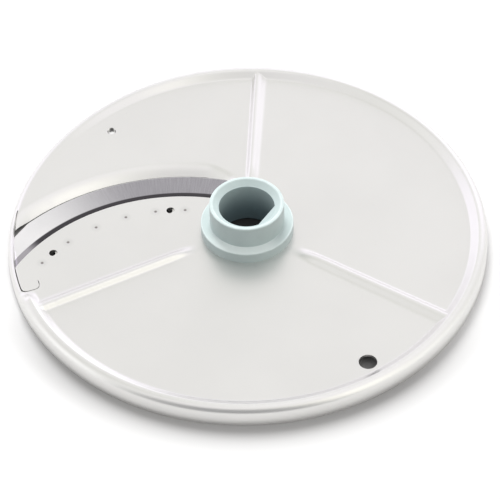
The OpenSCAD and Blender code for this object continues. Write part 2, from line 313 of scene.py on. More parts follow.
# fine grain of a worked surface: a tone that wanders, a pitted height and specks
def makeGrainGroup():
    tree, given, result = newGroup(
        "surfaceGrain",
        [("Vector", "Vector", None), ("Grain Scale", "Float", 1500.0), ("Cloud Scale", "Float", 30.0)],
        [("Grain", "Float"), ("Cloud", "Float"), ("Specks", "Float")])
    fine = addNoise(tree, given["Vector"], given["Grain Scale"], 2.0, 0.6)
    cloud = addNoise(tree, given["Vector"], given["Cloud Scale"], 3.0, 0.55)
    tree.links.new(addRange(tree, fine, 0.3, 0.7, 0, 1, "LINEAR"), result["Grain"])
    tree.links.new(addRange(tree, cloud, 0.3, 0.7), result["Cloud"])
    specks = addNoise(tree, given["Vector"], addMath(tree, "MULTIPLY", given["Grain Scale"], 0.22), 1.0, 0.4)
    tree.links.new(addRange(tree, specks, 0.72, 0.80), result["Specks"])
    return tree


# long fine lines round a centre: "Across" lines cross the arcs, "Along" lines follow them
def makeLinesGroup():
    tree, given, result = newGroup(
        "arcLines",
        [("Vector", "Vector", None), ("Centre", "Vector", None),
         ("Pitch", "Float", 0.0002), ("Arc Radius", "Float", 0.07)],
        [("Across", "Float"), ("Along", "Float"), ("Radius", "Float"), ("Bearing", "Float")])
    x, y = addSplit(tree, addVector(tree, "SUBTRACT", given["Vector"], given["Centre"]))[:2]
    radius = addLength(tree, x, y)
    bearing = addMath(tree, "ARCTAN2", y, x)
    travel = addMath(tree, "MULTIPLY", bearing, given["Arc Radius"])
    turn = (addMath(tree, "MULTIPLY", x, 0.02), addMath(tree, "MULTIPLY", y, 0.02), radius)
    for name, parts in (("Across", (travel, addMath(tree, "MULTIPLY", radius, 0.03))), ("Along", turn)):
        join = tree.nodes.new("ShaderNodeCombineXYZ")
        for i, part in enumerate(parts):
            tree.links.new(part, join.inputs[i])
        lines = addNoise(tree, join.outputs[0], addMath(tree, "DIVIDE", 0.5, given["Pitch"]), 3.0, 0.65)
        tree.links.new(addRange(tree, lines, 0.3, 0.7, 0, 1, "LINEAR"), result[name])
    tree.links.new(radius, result["Radius"])
    tree.links.new(bearing, result["Bearing"])
    return tree


# a pale ring at a given radius and height, broken up by noise: wear with a painted highlight along a rounded
# edge
def makeWearSheenGroup():
    tree, given, result = newGroup(
        "ringWearAndSheen",
        [("Vector", "Vector", None), ("Radius", "Float", 0.0), ("Height", "Float", 0.0),
         ("Ring Radius", "Float", 0.08), ("Ring Height", "Float", 0.007), ("Core", "Float", 0.0002),
         ("Reach", "Float", 0.001), ("Breakup Scale", "Float", 400.0), ("Breakup", "Float", 0.5)],
        [("Mask", "Float")])
    off = addMath(tree, "SUBTRACT", given["Radius"], given["Ring Radius"])
    rise = addMath(tree, "SUBTRACT", given["Height"], given["Ring Height"])
    away = addLength(tree, off, rise)
    ring = addRange(tree, away, given["Core"], given["Reach"], 1.0, 0.0)
    noise = addRange(tree, addNoise(tree, given["Vector"], given["Breakup Scale"], 2.0, 0.6), 0.35, 0.65)
    kept = addMath(tree, "SUBTRACT", 1.0, addMath(tree, "MULTIPLY", given["Breakup"], noise))
    tree.links.new(addMath(tree, "MULTIPLY", ring, kept), result["Mask"])
    return tree


# a round mark with a soft edge, such as a weld print
def makeSpotGroup():
    tree, given, result = newGroup(
        "roundMark",
        [("Vector", "Vector", None), ("Centre", "Vector", None),
         ("Core", "Float", 0.0004), ("Reach", "Float", 0.0009)],
        [("Mask", "Float")])
    flat = addVector(tree, "MULTIPLY", given["Vector"], (1.0, 1.0, 0.0))
    away = addVector(tree, "DISTANCE", flat, given["Centre"])
    tree.links.new(addRange(tree, away, given["Core"], given["Reach"], 1.0, 0.0), result["Mask"])
    return tree


grainGroup = makeGrainGroup()
linesGroup = makeLinesGroup()
wearSheenGroup = makeWearSheenGroup()
spotGroup = makeSpotGroup()
print("stage node groups")


def startMaterial(name, metallic, roughness):
    mat = bpy.data.materials.new(name)
    mat.use_nodes = True
    shader = mat.node_tree.nodes["Principled BSDF"]
    shader.inputs["Metallic"].default_value = metallic
    shader.inputs["Roughness"].default_value = roughness
    coord = mat.node_tree.nodes.new("ShaderNodeTexCoord")
    return mat, mat.node_tree, shader, coord.outputs["Object"]


def placeGrain(tree, at, look):
    values = {"Vector": at, "Grain Scale": look["grainScale"], "Cloud Scale": look["cloudScale"]}
    return place(tree, grainGroup, **values)


def addTurn(tree, lines, limits):  # from 0 to 1 between two bearings about the centre of the lines
    return addRange(tree, lines["Bearing"], *(math.radians(v) for v in limits))


def addBump(tree, shader, height, distance, normal=None):  # distance in metres
    bump = tree.nodes.new("ShaderNodeBump")
    if normal is not None:
        tree.links.new(normal, bump.inputs["Normal"])
    bump.inputs["Strength"].default_value = 1.0
    bump.inputs["Distance"].default_value = distance
    tree.links.new(height, bump.inputs["Height"])
    tree.links.new(bump.outputs["Normal"], shader.inputs["Normal"])


# floor, camera and light
stageLook = {
    "floorSize": 4.0, "floorTone": 0.64, "floorRoughness": 0.6, "floorGloss": 0.15,
    "boreShadeTone": (0.05, 0.05, 0.05), "boreShadeReach": (0.012, 0.03),  # painted shadow: the floor seen through the socket is painted dark
    # and a painted shadow darkens the floor just outside the front edge
    "edgeTone": (0.16, 0.155, 0.155), "edgeShadowShare": 0.55,
    "edgeShadowReach": (0.0875, 0.101), "edgeShadowFront": (-0.03, -0.075),
    "cameraTurn": 3.7, "cameraTilt": 46.04, "cameraRoll": 1.55, "distance": 0.8, "lens": 157.6, "sensor": 36,
    "shift": (0.0054, -0.0419), "aimZ": 0.0053, "clip": (0.05, 20),
}


def makeStage():
    look = stageLook
    mesh = bpy.data.meshes.new("floor")
    q = look["floorSize"]
    mesh.from_pydata([(-q, -q, 0), (q, -q, 0), (q, q, 0), (-q, q, 0)], [], [(0, 1, 2, 3)])
    floor = bpy.data.objects.new("floor", mesh)
    scene.collection.objects.link(floor)
    mat, tree, shader, at = startMaterial("paleFloor", 0.0, look["floorRoughness"])
    shader.inputs["Specular IOR Level"].default_value = look["floorGloss"]
    away = addVector(tree, "LENGTH", at)
    # painted shadow: the floor inside the socket's footprint is dark
    boreShade = addRange(tree, away, *look["boreShadeReach"], 1.0, 0.0)
    colour = addMix(tree, boreShade, (look["floorTone"],) * 3, look["boreShadeTone"])
    # painted shadow: the floor just outside the disc's front edge darkens
    edgeShadow = addRange(tree, away, *look["edgeShadowReach"], look["edgeShadowShare"], 0.0)
    atFront = addRange(tree, addSplit(tree, at)[1], *look["edgeShadowFront"])
    colour = addTint(tree, edgeShadow, atFront, colour, look["edgeTone"])
    tree.links.new(colour, shader.inputs["Base Color"])
    mesh.materials.append(mat)


def makeCamera():
    turn, tilt, roll = (math.radians(stageLook[k]) for k in ("cameraTurn", "cameraTilt", "cameraRoll"))
    back = Vector((math.sin(turn) * math.cos(tilt), -math.cos(turn) * math.cos(tilt), math.sin(tilt)))
    right = Vector((math.cos(turn), math.sin(turn), 0))
    up = back.cross(right)
    camRight = right * math.cos(roll) - up * math.sin(roll)
    camUp = right * math.sin(roll) + up * math.cos(roll)
    data = bpy.data.cameras.new("camera")
    data.sensor_width = stageLook["sensor"]
    data.lens = stageLook["lens"]
    data.shift_x, data.shift_y = stageLook["shift"]
    data.clip_start, data.clip_end = stageLook["clip"]
    cam = bpy.data.objects.new("camera", data)
    rot = Matrix((camRight, camUp, back)).transposed()
    spot = Vector((0, 0, stageLook["aimZ"])) + back * stageLook["distance"]
    cam.matrix_world = Matrix.Translation(spot) @ rot.to_4x4()
    scene.collection.objects.link(cam)
    scene.camera = cam


# soft panels of the studio: degrees from the back towards the right, height, full and outer reach, colour
softPanels = {
    "darkInFront": (180, 8, 33, 56, (0.36, 0.36, 0.37)),
    "rightCeiling": (75, 66, 14, 30, (1.10, 1.08, 1.10)),
    "frontCeiling": (212, 65, 8, 18, (1.12, 1.10, 1.12)),
    "leftCeiling": (-72, 62, 13, 24, (0.84, 0.84, 0.81)),
    "rightPanel": (128, 46, 9, 19, (1.55, 1.53, 1.44)),
    "rightBelow": (131, 24, 10, 20, (1.45, 1.43, 1.35)),
    "leftLow": (-102, 14, 12, 26, (1.3, 1.3, 1.3)),
    "rightLow": (98, 14, 12, 26, (1.2, 1.2, 1.17)),
    "backLow": (0, 8, 18, 28, (1.14, 1.11, 1.18)),
    "backLeft": (-46, 18, 14, 28, (1.30, 1.26, 1.36)),
    "backRight": (24, 14, 17, 29, (1.36, 1.32, 1.42)),
}
roomColour = (0.965, 0.962, 0.948)
fillLamp = {"turn": -12, "height": 52, "distance": 2.4, "size": 1.2, "power": 56.0}


def towards(turn, height):  # direction to a place in the studio, in degrees
    a, h = math.radians(turn), math.radians(height)
    return math.sin(a) * math.cos(h), math.cos(a) * math.cos(h), math.sin(h)


def makeLight():
    world = bpy.data.worlds.new("studio")
    scene.world = world
    world.use_nodes = True
    tree = world.node_tree
    tree.nodes.clear()
    coord = tree.nodes.new("ShaderNodeTexCoord").outputs["Generated"]
    colour = roomColour
    for turn, height, full, reach, tint in softPanels.values():
        near = addVector(tree, "DOT_PRODUCT", coord, towards(turn, height))
        mask = addRange(tree, near, math.cos(math.radians(reach)), math.cos(math.radians(full)))
        colour = addMix(tree, mask, colour, tint)
    background = tree.nodes.new("ShaderNodeBackground")
    tree.links.new(colour, background.inputs["Color"])
    out = tree.nodes.new("ShaderNodeOutputWorld")
    tree.links.new(background.outputs["Background"], out.inputs["Surface"])
    data = bpy.data.lights.new("fillLamp", "AREA")
    data.shape, data.size, data.energy = "DISK", fillLamp["size"], fillLamp["power"]
    lamp = bpy.data.objects.new("fillLamp", data)
    spot = Vector(towards(fillLamp["turn"], fillLamp["height"])) * fillLamp["distance"]
    lamp.location = spot
    lamp.rotation_euler = spot.to_track_quat("Z", "Y").to_euler()
    lamp.visible_glossy = False  # lights the floor and the moulding, and leaves the metal to the panels
    scene.collection.objects.link(lamp)
    scene.view_settings.view_transform = "Standard"
    print("stage light with", len(softPanels), "soft panels")


# plate: its shape in millimetres as in the CAD model, the reach of textures and marks in metres
plateSizes = {
    "discR": 87.5, "rimHeight": 7.65, "bead": 2.35, "sheet": 1.0, "shoulderR": 3.0, "slope": 3.6,
    "skirtSpan": 4.6, "centreHoleR": 13.0,
    "fadeStart": 99.0, "fadeEnd": 168.0, "riseStart": 203.0, "riseSpan": 4.2,
    "ribHeight": 1.8, "ribSteep": {90: 2.4, 210: 2.2, 330: 3.6}, "ribEasyIn": 3.4, "ribEasyOut": 4.8,
    "ribStart": 18.4, "ribLength": 69.0, "ribRise": 13.0, "ribFillet": 0.42, "ribBlend": 0.35,
    "arcCentre": (-22.7375, -50.4422), "slotIn": 66.7, "slotOut": 79.9, "slotEnd": 77.0, "slotCorner": 0.7,
    "slotTaper": 3.2, "taperFrom": 86.0, "taperSpan": 8.0,
    "lipWidth": 5.2, "lipDrop": 3.0, "lipCurl": 0.65, "lipFade": 4.0, "lipRise": 0.3, "lipRiseFrom": 80.5,
    "lipInside": 73, "lipLast": 150,
    "weldR": 59.6, "weldBearings": (148.07, 135.14, 123.29, 111.90, 101.13, 90.62),
    "weldDepth": 0.16, "weldDish": 1.1,
    "locatingBearings": (142.15, 95.81), "locatingR": 1.5,
    "slitOut": 85.9, "slitIn": 85.5, "tongueR": 79.0, "tongueBack": 200.4, "tongueEnd": 203.0,
    "tongueCorner": 2.2, "lance": 0.4,
    "foldDepth": 0.06, "foldR": 77.3, "foldFrom": 187.5, "foldTo": 201.5, "foldSoft": (1.1, 3, 2.0),
    "dimpleR": 74.2, "dimpleBearing": 137.0, "dimpleDepth": 0.85, "dimpleFloor": 1.1, "dimpleWall": 0.75,
    "rimHoleR": 76.6, "rimHoleBearing": 305.5, "rimHoleSize": 3.2, "edge": 0.1,
    "steel": (0.80, 0.795, 0.778), "roughness": 0.34, "grainScale": 5200.0, "cloudScale": 24.0,
    "linePitch": 0.00035, "cloudSpread": 0.015,
    "grainTone": (0.92, 0.92, 0.91), "grainShare": 0.08, "speckTone": (0.40, 0.39, 0.37), "speckShare": 0.07,
    "weldTone": (0.17, 0.15, 0.14), "weldShare": 0.85, "weldReach": (0.00022, 0.0008),
    "haloTone": (0.45, 0.45, 0.44), "haloShare": 0.16, "haloReach": (0.0008, 0.0026),
    # the crest ring is wear with a painted highlight
    "crestTone": (0.95, 0.95, 0.94), "crestShare": 0.35, "crestWearAndSheen": (0.0003, 0.0012),
    # a painted highlight on the bead's inner flank at the front left
    "flankHighlightTone": (1.0, 1.0, 1.0), "flankHighlightFrom": (-155, -146), "flankHighlightTo": (-100, -120),
    "dimpleReach": (0.0007, 0.0012),
    # the dimple's marks are a painted shadow and a painted highlight
    "dimpleShadeAndHighlight": (((-0.1, 0.9), (0.06, 0.06, 0.06), 0.85), ((0.15, -0.35), (1.0, 1.0, 1.0), 0.95)),
    "skirtLean": 0.27, "skirtBelow": (0.0056, 0.0046), "skirtOutside": (0.0868, 0.0873), "bump": 0.000001,
}
panZ = plateSizes["rimHeight"] - plateSizes["bead"]
crestR = plateSizes["discR"] - plateSizes["shoulderR"]
footR = crestR - plateSizes["slope"]
shoulderArc = plateSizes["shoulderR"] * math.pi / 2
outerR = crestR + shoulderArc  # plan radius where the shoulder turns into the skirt
arcCentre = np.array(plateSizes["arcCentre"])


def arcPoint(rho, bearing):  # point at an arc radius and bearing about the slot arc's centre
    return arcCentre + polar(rho, bearing)


def arcHit(rho, radius):  # bearing about the arc's centre where it crosses a circle about the disc's axis
    c = float(np.hypot(*arcCentre))
    q = math.degrees(math.acos((radius ** 2 - c ** 2 - rho ** 2) / (2 * rho * c)))
    return bearingOf(arcCentre) - q


def slotOutAt(local):  # the slot's outer edge draws in where it runs behind the hub
    p = plateSizes
    return p["slotOut"] - p["slotTaper"] * ease((p["taperFrom"] - local) / p["taperSpan"])


def beadAt(bearing):  # height of the bead above the pan
    p = plateSizes
    b = np.mod(bearing, 360)
    fall = 1 - ease((b - p["fadeStart"]) / (p["fadeEnd"] - p["fadeStart"]))
    rise = ease((b - p["riseStart"]) / p["riseSpan"])
    return p["bead"] * np.where(b <= p["fadeStart"], 1, np.maximum(fall, rise))


def ribAt(x, y, bearing):  # height of one rib above the pan
    p = plateSizes
    a = math.radians(bearing)
    along, across = x * math.cos(a) + y * math.sin(a), -x * math.sin(a) + y * math.cos(a)
    easy = p["ribEasyIn"] + (p["ribEasyOut"] - p["ribEasyIn"]) * (along - p["ribStart"]) / p["ribLength"]
    u = np.clip(np.where(across < 0, 1 + across / easy, 1 - across / p["ribSteep"][bearing]), 0, 1)
    return p["ribHeight"] * formed(u, p["ribFillet"]) * ease((along - p["ribStart"]) / p["ribRise"])


def lipAt(xy, s):  # how far the lip beside the slot is bent down
    p = plateSizes
    rel = xy - arcCentre
    rho = np.hypot(rel[:, 0], rel[:, 1])
    local = np.degrees(np.arctan2(rel[:, 1], rel[:, 0]))
    t = np.clip((slotOutAt(local) + p["lipWidth"] - rho) / p["lipWidth"], 0, 1.1)
    lip = (1 - p["lipCurl"]) * ease(t) + p["lipCurl"] * t * t
    lip = p["lipDrop"] * lip * ease((local - p["slotEnd"]) / p["lipFade"])
    lip = lip * (1 - p["lipRise"] * ease((s - p["lipRiseFrom"]) / (p["slitIn"] - p["lipRiseFrom"])))
    beside = (rho > p["lipInside"]) & (local > p["slotEnd"]) & (local < p["lipLast"])
    return np.where(beside & (s < p["slitIn"] + 0.3), lip, 0)


def plateSurface(xy):  # the plate's upper face over its unrolled plan
    p = plateSizes
    x, y = xy[:, 0], xy[:, 1]
    s = np.hypot(x, y)
    bearing = np.degrees(np.arctan2(y, x)) % 360
    h = beadAt(bearing)
    bead = h * formed((s - footR) / p["slope"])
    phi = np.clip((s - crestR) / p["shoulderR"], 0, np.pi / 2)
    r = np.where(s <= crestR, s, crestR + p["shoulderR"] * np.sin(phi))
    z = bead - p["shoulderR"] * (1 - np.cos(phi))
    rib = sum(ribAt(x, y, b) for b in p["ribSteep"])
    joined = (rib + bead + np.sqrt((rib - bead) ** 2 + p["ribBlend"] ** 2) - p["ribBlend"]) / 2
    z = np.where(s <= crestR, np.where(rib > 0.001, np.maximum(joined, bead), bead), z)
    z = z - lipAt(xy, s)
    for b in p["weldBearings"]:
        d = np.hypot(*(xy - arcPoint(p["weldR"], b)).T)
        z = z - p["weldDepth"] * (1 - ease(d / p["weldDish"]))
    d = np.hypot(*(xy - polar(p["dimpleR"], p["dimpleBearing"])).T)
    z = z - p["dimpleDepth"] * (1 - ease((d - p["dimpleFloor"]) / p["dimpleWall"]))
    softR, softFrom, softTo = p["foldSoft"]
    fold = ease((s - p["foldR"]) / softR) * ease((bearing - p["foldFrom"]) / softFrom)
    fold = fold * (1 - ease((bearing - p["foldTo"]) / softTo)) * (s < p["slitIn"] + 0.2)
    z = z - p["foldDepth"] * fold
    fall = np.clip((s - outerR) / p["skirtSpan"], 0, None)
    top = panZ + h - p["shoulderR"]
    z = np.where(fall > 0, top - (top - p["edge"]) * fall, panZ + z)
    unit = xy / np.maximum(s, 1e-6)[:, None]
    return np.column_stack([unit * r[:, None], z])


def slotLoop():  # one opening: the slot, the slit along the rim and the rounded lance behind the tongue
    p = plateSizes
    w, end, corner = p["edge"], p["slotEnd"], p["tongueCorner"]
    inner, outer, lipLine = p["slotIn"] - w, p["slotOut"] + w, p["slotOut"] + p["lipWidth"]
    slitIn, slitOut = p["slitIn"] - w, p["slitOut"] + w
    aIn, aOut, aLip = arcHit(inner, slitIn), arcHit(outer, slitIn), arcHit(lipLine, slitIn)
    turns = ((inner, aIn), (lipLine, aLip), (outer, aOut))
    tipB, lipB, lipTip = (bearingOf(arcPoint(r, a)) for r, a in turns)
    lastB = p["tongueEnd"] - 2

    def lanced(r, r2, endB, grow):  # out along one radius, round the end, back along the other
        c = corner + grow
        run = [polar(r, b) for b in np.arange(tipB, lastB, 0.5)]
        turn = [polar(r, lastB), polar(r, endB), polar(r2, endB), polar(r2, p["tongueBack"])]
        return run + filleted(turn, [0, c, c, 0], 0.3)

    loop = [arcPoint(inner, a) for a in np.arange(end + 1.0, aIn, 0.8)]
    loop += lanced(slitIn, p["tongueR"], p["tongueEnd"], 0)
    back = lanced(slitOut, p["tongueR"] - p["lance"], p["tongueEnd"] + 0.3, p["lance"])
    loop += ([polar(slitOut, b) for b in np.arange(lipB, tipB - 0.2, 0.5)] + back)[::-1]
    loop += [polar(slitIn, b) for b in np.arange(lipB, lipTip, 0.5)]
    loop += [arcPoint(slotOutAt(a) + w, a) for a in np.arange(aOut, end + 1.0, -0.8)]
    drawnIn = slotOutAt(end) + w
    hubEnd = ((drawnIn, end + 0.9), (drawnIn, end), (inner, end), (inner, end + 0.9))
    hubEnd = [arcPoint(r, a) for r, a in hubEnd]
    loop += filleted(hubEnd, [0, p["slotCorner"], p["slotCorner"], 0], 0.25)[:-1]
    return loop


def plateLook():
    p = plateSizes
    mat, tree, shader, at = startMaterial("satinSteel", 1.0, p["roughness"])
    grain = placeGrain(tree, at, p)
    lines = place(tree, linesGroup, **{"Vector": at, "Pitch": p["linePitch"]})
    z = addSplit(tree, at)[2]
    core, reach = p["crestWearAndSheen"]
    wearAndSheen = place(tree, wearSheenGroup, **{"Vector": at, "Radius": lines["Radius"], "Height": z,
                                     "Ring Radius": (crestR + 0.3) * mm, "Ring Height": p["rimHeight"] * mm,
                                     "Core": core, "Reach": reach, "Breakup": 0.5})
    dark, light = (tuple(v * (1 + k * p["cloudSpread"]) for v in p["steel"]) for k in (-1, 1))
    colour = addMix(tree, grain["Cloud"], dark, light)
    colour = addTint(tree, grain["Grain"], p["grainShare"], colour, p["grainTone"])
    colour = addTint(tree, grain["Specks"], p["speckShare"], colour, p["speckTone"])

    def mark(spot, limits):
        centre = tuple(spot * mm) + (0.0,)
        return place(tree, spotGroup, Vector=at, Centre=centre, Core=limits[0], Reach=limits[1])["Mask"]

    halo, weld = 0.0, 0.0
    for b in p["weldBearings"]:
        spot = arcPoint(p["weldR"], b)
        weld = addMath(tree, "MAXIMUM", weld, mark(spot, p["weldReach"]))
        halo = addMath(tree, "MAXIMUM", halo, mark(spot, p["haloReach"]))
    # painted shadow and painted highlight in the dimple: a dark crescent at its far side and a white patch
    # towards the front
    for shift, tint, share in p["dimpleShadeAndHighlight"]:
        dimpleLightMark = mark(polar(p["dimpleR"], p["dimpleBearing"]) + shift, p["dimpleReach"])
        colour = addTint(tree, dimpleLightMark, share, colour, tint)
    # painted highlight: the bead's inner flank is painted bright at the front left
    flankHighlight = addMath(tree, "MULTIPLY", addRange(tree, lines["Radius"], (footR + 0.3) * mm, (footR + 1.0) * mm),
                    addRange(tree, lines["Radius"], (crestR + 0.2) * mm, (crestR - 0.5) * mm))
    frontLeft = [addTurn(tree, lines, p[k]) for k in ("flankHighlightFrom", "flankHighlightTo")]
    frontLeft = addMath(tree, "MULTIPLY", *frontLeft)
    colour = addTint(tree, flankHighlight, frontLeft, colour, p["flankHighlightTone"])
    colour = addTint(tree, halo, p["haloShare"], colour, p["haloTone"])
    colour = addTint(tree, weld, p["weldShare"], colour, p["weldTone"])
    # the crest ring is wear with a painted highlight: paler colour, and lower roughness from polish
    colour = addTint(tree, wearAndSheen["Mask"], p["crestShare"], colour, p["crestTone"])
    tree.links.new(colour, shader.inputs["Base Color"])
    rough = addMath(tree, "ADD", p["roughness"] - 0.03, addMath(tree, "MULTIPLY", grain["Grain"], 0.05))
    rough = addMath(tree, "ADD", rough, addMath(tree, "MULTIPLY", lines["Along"], 0.02))
    rough = addMath(tree, "SUBTRACT", rough, addMath(tree, "MULTIPLY", wearAndSheen["Mask"], 0.06))
    tree.links.new(rough, shader.inputs["Roughness"])
    relief = addMath(tree, "ADD", grain["Grain"], addMath(tree, "MULTIPLY", lines["Along"], 0.5))
    # the skirt catches light as if it leaned in
    skirt = addMath(tree, "MULTIPLY", addRange(tree, z, *p["skirtBelow"]),
                    addRange(tree, lines["Radius"], *p["skirtOutside"]))
    lean = addVector(tree, "SCALE", (0.0, 0.0, p["skirtLean"]), skirt)
    leant = addVector(tree, "NORMALIZE", addVector(tree, "ADD", addNormal(tree), lean))
    addBump(tree, shader, relief, p["bump"], leant)
    return mat


def makePlate():
    p = plateSizes
    outer = circleLoop((0, 0), outerR + p["skirtSpan"], 720)
    w, end = p["edge"], p["slotEnd"]
    rimHole, dimple = polar(p["rimHoleR"], p["rimHoleBearing"]), polar(p["dimpleR"], p["dimpleBearing"])
    holes = [circleLoop((0, 0), p["centreHoleR"], 120), slotLoop()]
    holes.append(circleLoop(rimHole, p["rimHoleSize"] + w, 64))
    holes += [circleLoop(arcPoint(p["weldR"], a), p["locatingR"] + w, 40) for a in p["locatingBearings"]]
    inner = []  # points of the plan, close together where the sheet bends
    rows = [76.6, 77.3, 77.7, 78.1, 78.5, 79.6, 80.2] + list(np.arange(80.6, crestR, 0.3))
    rows += list(np.linspace(crestR, outerR, 15)) + [outerR + 1.2, outerR + 3]
    bearings = np.arange(0, 360, 0.75)
    for k, s in enumerate(rows):
        inner.append(polar(s, bearings + 0.375 * (k % 2)))
    across = np.arange(-6.2, 4.1, 0.33)
    for b in p["ribSteep"]:
        cosB, sinB = math.cos(math.radians(b)), math.sin(math.radians(b))
        for along in list(np.arange(17.2, 28, 0.7)) + list(np.arange(28, 82, 1.5)):
            inner.append(np.column_stack([along * cosB - across * sinB, along * sinB + across * cosB]))
    for rho in np.arange(76.9, 86.4, 0.35):
        inner.append(arcPoint(rho, np.arange(end - 0.8, 128, 0.8)))
    for b in p["weldBearings"]:
        for r in (0.0, 0.25, 0.5, 0.8, 1.1, 1.6):
            inner.append(circleLoop(arcPoint(p["weldR"], b), r + 0.001, 14 if r else 1))
    for r in (0.01, 0.6, 1.0, 1.15, 1.3, 1.45, 1.6, 1.75, 1.9, 2.1, 2.8):
        inner.append(circleLoop(dimple, r, 30))
    step = np.arange(-80, 81, 5.0)
    gx, gy = np.meshgrid(step, step)
    gx = gx + 2.5 * (np.arange(len(step)) % 2)[:, None]
    grid = np.column_stack([gx.ravel(), gy.ravel()])
    inner.append(grid[np.hypot(*grid.T) < 78])

    def under(xy, top, normal):
        return top - normal * p["sheet"], -normal

    plate = sheetMesh("plateSkin", outer, holes, np.vstack(inner), plateSurface, under, w)
    plate.data.materials.append(plateLook())
    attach(plate, "root")
    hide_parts("disc_plate")


# blade: its shape in millimetres as in the CAD model, textures in metres
bladeSizes = {
    "thick": 0.9, "backR": 54.0, "bevelR": 69.6, "edgeR": 78.5, "edgeDrop": 0.6, "edgeRun": 0.9,
    "arcFrom": 76.005, "heel": 160.06, "tipBearing": 182.4, "tipTurn": 32, "tipCut": 1.2,
    "endR": 85.8, "endRelief": 0.5, "hubClear": 17.9, "edge": 0.03, "holeR": 1.15, "holeShift": (-0.5, 0.6),
    # the bevel's two tones are a painted reflection, dark to bright along the arc
    "bevelDarkReflection": (0.33, 0.32, 0.345), "bevelBrightReflection": (0.93, 0.92, 0.93), "bevelReflectionTurn": (104, 143),
    "lineTone": (0.82, 0.81, 0.83), "shadeTone": (0.30, 0.29, 0.31), "edgeTone": (0.85, 0.85, 0.85),
    # the flat's two tones are a painted shadow beside the plate's edge and a painted reflection at its outer
    # end
    "flatShadow": (0.055, 0.051, 0.057), "flatReflection": (0.42, 0.40, 0.43), "flatReflectionTurn": (140.5, 146.5),
    "coveredSteel": (0.90, 0.89, 0.88), "underDark": (0.60, 0.59, 0.59), "underLight": (0.66, 0.65, 0.65),
    "acrossShare": 0.16, "alongShare": 0.10, "cloudShare": 0.08, "keenShare": 0.35,
    "roughness": 0.2, "linePitch": 0.00022, "lineRadius": 0.074, "grainScale": 1900.0, "cloudScale": 60.0,
    "bump": 0.0000025,
}


def bladeLook():
    b = bladeSizes
    mat, tree, shader, at = startMaterial("groundSteel", 1.0, b["roughness"])
    centre = tuple(arcCentre * mm) + (0.0,)
    lines = place(tree, linesGroup, **{"Vector": at, "Centre": centre, "Pitch": b["linePitch"],
                                       "Arc Radius": b["lineRadius"]})
    grain = placeGrain(tree, at, b)

    def ringStep(start, full):  # from 0 to 1 across a band of arc radius
        return addRange(tree, lines["Radius"], start * mm, full * mm)

    chips = addMath(tree, "SUBTRACT", 1.0, addMath(tree, "MULTIPLY", grain["Specks"], 0.8))
    keen = addMath(tree, "MULTIPLY", ringStep(b["edgeR"] - 0.55, b["edgeR"] - 0.1), chips)
    topSide = addRange(tree, addSplit(tree, addNormal(tree))[2], 0.2, 0.6)
    # painted reflection: the bevel runs from dark to bright along the arc
    bevel = addMix(tree, addTurn(tree, lines, b["bevelReflectionTurn"]), b["bevelDarkReflection"], b["bevelBrightReflection"])
    bevel = addTint(tree, lines["Across"], b["acrossShare"], bevel, b["lineTone"])
    bevel = addTint(tree, grain["Cloud"], b["cloudShare"], bevel, b["shadeTone"])
    # painted shadow on the bare flat beside the plate's edge, turning to a painted reflection at its outer
    # end
    flat = addMix(tree, addTurn(tree, lines, b["flatReflectionTurn"]), b["flatShadow"], b["flatReflection"])
    flat = addTint(tree, lines["Along"], b["alongShare"], flat, b["shadeTone"])
    bare = ringStep(plateSizes["slotIn"] - 0.5, plateSizes["slotIn"] - 0.1)  # not covered by the plate
    flat = addMix(tree, bare, b["coveredSteel"], flat)
    top = addMix(tree, ringStep(b["bevelR"] - 0.35, b["bevelR"] + 0.15), flat, bevel)
    colour = addMix(tree, topSide, addMix(tree, grain["Cloud"], b["underDark"], b["underLight"]), top)
    colour = addTint(tree, keen, b["keenShare"], colour, b["edgeTone"])
    tree.links.new(colour, shader.inputs["Base Color"])
    rough = addMath(tree, "ADD", b["roughness"] - 0.04, addMath(tree, "MULTIPLY", lines["Across"], 0.09))
    tree.links.new(rough, shader.inputs["Roughness"])
    relief = addMath(tree, "ADD", lines["Across"], addMath(tree, "MULTIPLY", grain["Grain"], 0.4))
    addBump(tree, shader, relief, b["bump"])
    return mat


